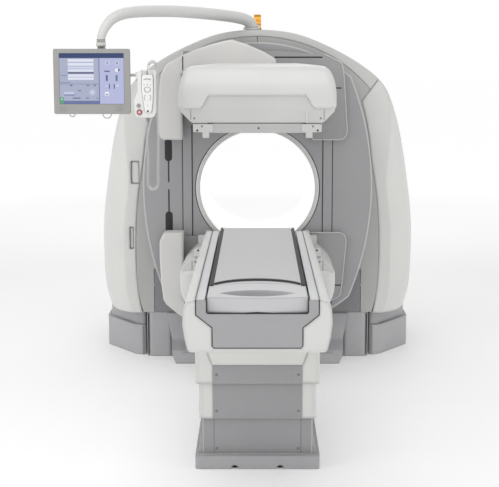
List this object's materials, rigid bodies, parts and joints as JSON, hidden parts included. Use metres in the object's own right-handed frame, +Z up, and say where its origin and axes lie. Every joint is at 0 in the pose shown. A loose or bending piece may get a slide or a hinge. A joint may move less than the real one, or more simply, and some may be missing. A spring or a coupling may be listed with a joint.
{
  "type": "hybrid ct scanner with patient table",
  "caption": "Hospital gantry with a turning front plate and flat detector heads round a patient bore, a lifting patient table and an overhead monitor arm.",
  "frame": {"origin": "on the floor under the patient axis, at the centre of the gantry base frame's underside line", "axes": "X to the operator's right, Y from the operator through the bore, Z up"},
  "size_m": [2.0506, 3.7143, 2.116],
  "materials": {
    "cover_white": "satin moulded cover",
    "carriage_grey": "satin paint",
    "plate_grey": "satin paint",
    "rim_grey": "satin paint",
    "panel_grey": "satin paint",
    "plinth_grey": "satin moulded",
    "steel": "machined",
    "frame_steel": "primed steel",
    "collimator_grey": "bead blasted",
    "head_white": "satin moulded cover",
    "tray_grey": "satin moulded",
    "silver_cover": "silver paint",
    "pallet_grey": "satin laminate",
    "strip_dark": "matt",
    "bezel_grey": "satin moulded",
    "screen_blue": "display behind glass",
    "amber": "clear moulded lens",
    "black_plastic": "satin",
    "wire_steel": "bright wire",
    "button_grey": "satin",
    "button_red": "satin",
    "cord_grey": "satin sheath"
  },
  "bodies": {
    "gantry": {"arch_cover": "cover_white", "side_cover_left": "cover_white", "side_cover_right": "cover_white", "front_panels": "panel_grey", "front_panel_lower": "plate_grey", "plinths": "plinth_grey", "toe_plate": "plinth_grey", "base_frame": "frame_steel", "rear_cover": "cover_white", "bore_liner": "cover_white", "stator_frame": "frame_steel", "bearing_outer": "steel", "drive_motor": "frame_steel", "ct_stator_ring": "frame_steel", "beacon_base": "black_plastic", "beacon_lens": "amber", "table_floor_plate": "frame_steel", "table_base_cover": "cover_white", "column_lower": "cover_white", "lift_tube_lower": "steel", "floor_duct": "plinth_grey", "arm_post": "cover_white"},
    "rotor": {"rotor_plate": "plate_grey", "rotor_rim": "rim_grey", "guide_rails": "steel", "rotor_hub": "steel"},
    "drive_roller": {"drive_roller": "steel"},
    "ct_rotor": {"ct_rotor_ring": "steel", "xray_tube": "steel", "ct_detector": "steel"},
    "carriage_upper": {"carriage_box_upper": "carriage_grey", "carriage_plate_upper": "plate_grey", "head_shell_upper": "head_white", "head_body_upper": "head_white", "collimator_upper": "collimator_grey"},
    "carriage_lower": {"carriage_box_lower": "carriage_grey", "carriage_plate_lower": "plate_grey", "head_shell_lower": "head_white", "head_body_lower": "head_white", "collimator_lower": "collimator_grey"},
    "column_stage": {"column_middle": "cover_white", "lift_tube_middle": "steel"},
    "table_top": {"column_top": "cover_white", "lift_tube_upper": "steel", "table_body": "cover_white", "front_cover": "silver_cover", "table_tray": "tray_grey"},
    "pallet": {"pallet_deck": "pallet_grey", "pallet_strips": "strip_dark", "pallet_end_cap": "tray_grey"},
    "arm": {"monitor_arm": "cover_white"},
    "monitor_mount": {"monitor_yoke": "steel", "controller_holder": "cover_white", "hand_controller": "cover_white", "controller_cord": "cord_grey"},
    "monitor": {"monitor_housing": "bezel_grey", "monitor_screen": "screen_blue", "monitor_loops": "wire_steel"},
    "button_grey": {"button_grey": "button_grey"},
    "button_red": {"button_red": "button_red"}
  },
  "joints": [
    {"name": "rotor_spin", "type": "hinge", "parent": "gantry", "child": "rotor", "pos_m": [0, -0.5, 1.063], "axis": [0, 1, 0], "continuous": true},
    {"name": "roller_spin", "type": "hinge", "parent": "gantry", "child": "drive_roller", "pos_m": [0.37314, -0.35, 0.61831], "axis": [0, 1, 0], "continuous": true},
    {"name": "ct_spin", "type": "hinge", "parent": "gantry", "child": "ct_rotor", "pos_m": [0, -0.06, 1.063], "axis": [0, 1, 0], "continuous": true},
    {"name": "carriage_upper_slide", "type": "slide", "parent": "rotor", "child": "carriage_upper", "axis": [0, 0, 1], "range_m": [-0.2, 0.04]},
    {"name": "carriage_lower_slide", "type": "slide", "parent": "rotor", "child": "carriage_lower", "axis": [0, 0, -1], "range_m": [-0.11, 0.13]},
    {"name": "table_lift", "type": "slide", "parent": "gantry", "child": "table_top", "axis": [0, 0, 1], "range_m": [-0.19, 0.1]},
    {"name": "column_stage_lift", "type": "slide", "parent": "gantry", "child": "column_stage", "axis": [0, 0, 1], "range_m": [-0.095, 0.05]},
    {"name": "pallet_slide", "type": "slide", "parent": "table_top", "child": "pallet", "axis": [0, 1, 0], "range_m": [0, 1.5]},
    {"name": "arm_swivel", "type": "hinge", "parent": "gantry", "child": "arm", "pos_m": [-0.035, -0.4073, 2], "axis": [0, 0, 1], "range_deg": [-35, 45]},
    {"name": "monitor_swivel", "type": "hinge", "parent": "arm", "child": "monitor_mount", "pos_m": [-0.825, -1.33, 1.895], "axis": [0, 0, 1], "range_deg": [-40, 12]},
    {"name": "monitor_tilt", "type": "hinge", "parent": "monitor_mount", "child": "monitor", "pos_m": [-0.825, -1.345, 1.702], "axis": [1, 0, 0], "range_deg": [-10, 10]},
    {"name": "grey_press", "type": "slide", "parent": "monitor_mount", "child": "button_grey", "axis": [0, 1, 0], "range_m": [0, 0.003], "stiffness_N_per_m": 600, "springref_m": -0.001},
    {"name": "red_press", "type": "slide", "parent": "monitor_mount", "child": "button_red", "axis": [0, 1, 0], "range_m": [0, 0.003], "stiffness_N_per_m": 900, "springref_m": -0.001}
  ],
  "couplings": [
    {"joint": "roller_spin", "follows": "rotor_spin", "ratio": -8.6667},
    {"joint": "column_stage_lift", "follows": "table_lift", "ratio": 0.5}
  ]
}
